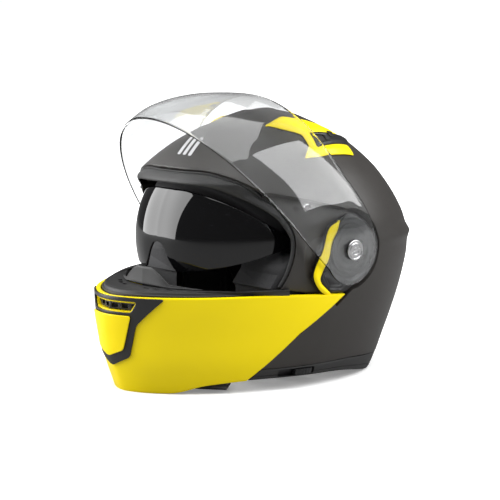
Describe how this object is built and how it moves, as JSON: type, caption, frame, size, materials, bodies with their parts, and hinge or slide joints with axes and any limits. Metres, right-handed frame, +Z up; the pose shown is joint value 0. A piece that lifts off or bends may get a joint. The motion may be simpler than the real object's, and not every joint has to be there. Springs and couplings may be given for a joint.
{
  "type": "motorcycle helmet",
  "caption": "Flip-up motorcycle helmet with a lifting chin bar, clear visor on the same pivots, drop-down sun visor, sliding vents, foam and fabric lining and a buckled strap.",
  "frame": {"origin": "on the surface the helmet rests on, under the middle of its length and width", "axes": "+Z up, +Y towards the back of the head, so the helmet faces -Y and +X is the wearer's left"},
  "size_m": [0.2628, 0.3554, 0.2774],
  "materials": {
    "shell_black": "satin",
    "signal_yellow": "gloss",
    "trim_black": "satin",
    "rubber_black": "matte",
    "foam_grey": "matte",
    "lining_fabric": "matte",
    "webbing": "matte",
    "clear_polycarbonate": "gloss",
    "smoked_polycarbonate": "gloss",
    "steel": "polished",
    "red_plastic": "satin"
  },
  "bodies": {
    "helmet": {"buckle_body": "steel", "buckle_tongue": "steel", "cheek_pad_left": "lining_fabric", "cheek_pad_right": "lining_fabric", "chin_strap_left": "webbing", "chin_strap_right": "webbing", "crown_pad": "lining_fabric", "crown_vent_frame_left": "signal_yellow", "crown_vent_frame_right": "signal_yellow", "crown_vent_scoop_left": "trim_black", "crown_vent_scoop_right": "trim_black", "eyeport_seal": "rubber_black", "foam_liner": "foam_grey", "latch_striker_left": "steel", "latch_striker_right": "steel", "nape_pad": "lining_fabric", "neck_roll": "lining_fabric", "outer_shell": "shell_black", "rim_trim": "rubber_black", "slider_track": "trim_black", "strap_anchor_left": "steel", "strap_anchor_right": "steel", "sun_visor_bracket_left": "trim_black", "sun_visor_bracket_right": "trim_black", "sun_visor_cable": "rubber_black"},
    "chin_bar": {"chin_bar_shell": "signal_yellow", "chin_bar_foam": "foam_grey", "chin_bar_upper_trim": "trim_black", "breath_guard": "rubber_black", "chin_curtain": "lining_fabric", "chin_vent_surround": "trim_black", "chin_vent_grille": "trim_black", "chin_bar_arm_left": "trim_black", "chin_bar_arm_right": "trim_black", "pivot_cover_left": "trim_black", "pivot_cover_right": "trim_black", "pivot_cover_edge_left": "signal_yellow", "pivot_cover_edge_right": "signal_yellow", "ratchet_plate_left": "trim_black", "ratchet_plate_right": "trim_black", "pivot_screw_left": "steel", "pivot_screw_right": "steel", "latch_hook_left": "steel", "latch_hook_right": "steel"},
    "clear_visor": {"clear_visor": "clear_polycarbonate", "insert_pin_left": "steel", "insert_pin_right": "steel"},
    "sun_visor": {"sun_visor": "smoked_polycarbonate"},
    "sun_visor_slider": {"sun_visor_slider": "trim_black"},
    "chin_vent_plate": {"chin_vent_plate": "signal_yellow"},
    "release_button": {"release_button": "red_plastic"},
    "crown_vent_shutter_left": {"crown_vent_shutter_left": "trim_black"},
    "crown_vent_shutter_right": {"crown_vent_shutter_right": "trim_black"},
    "buckle_lever": {"buckle_lever": "red_plastic"}
  },
  "joints": [
    {"name": "chin_bar_lift", "type": "hinge", "parent": "helmet", "child": "chin_bar", "pos_m": [0, 0.02109, 0.132], "axis": [-1, 0, 0], "range_deg": [0, 80]},
    {"name": "visor_lift", "type": "hinge", "parent": "chin_bar", "child": "clear_visor", "pos_m": [0, 0.02109, 0.132], "axis": [-1, 0, 0], "range_deg": [-51, 0]},
    {"name": "sun_visor_swing", "type": "hinge", "parent": "helmet", "child": "sun_visor", "pos_m": [0, -0.01891, 0.138], "axis": [-1, 0, 0], "range_deg": [0, 46]},
    {"name": "sun_slider_travel", "type": "slide", "parent": "helmet", "child": "sun_visor_slider", "axis": [-0.223, -0.9748, 0], "range_m": [0, 0.015]},
    {"name": "chin_vent_travel", "type": "slide", "parent": "chin_bar", "child": "chin_vent_plate", "axis": [0, -0.12, 0.9928], "range_m": [0, 0.005]},
    {"name": "crown_vent_left_travel", "type": "slide", "parent": "helmet", "child": "crown_vent_shutter_left", "axis": [0, -0.981, 0.194], "range_m": [0, 0.008]},
    {"name": "crown_vent_right_travel", "type": "slide", "parent": "helmet", "child": "crown_vent_shutter_right", "axis": [0, -0.981, 0.194], "range_m": [0, 0.008]},
    {"name": "release_press", "type": "slide", "parent": "chin_bar", "child": "release_button", "axis": [0, 0, 1], "range_m": [0, 0.004], "stiffness_N_per_m": 400, "springref_m": -0.001},
    {"name": "buckle_lever_turn", "type": "hinge", "parent": "helmet", "child": "buckle_lever", "pos_m": [0.0125, -0.00891, 0.0108], "axis": [0, 1, 0], "range_deg": [0, 60]}
  ],
  "couplings": [
    {"joint": "sun_slider_travel", "follows": "sun_visor_swing", "m_per_rad": 0.018682}
  ]
}
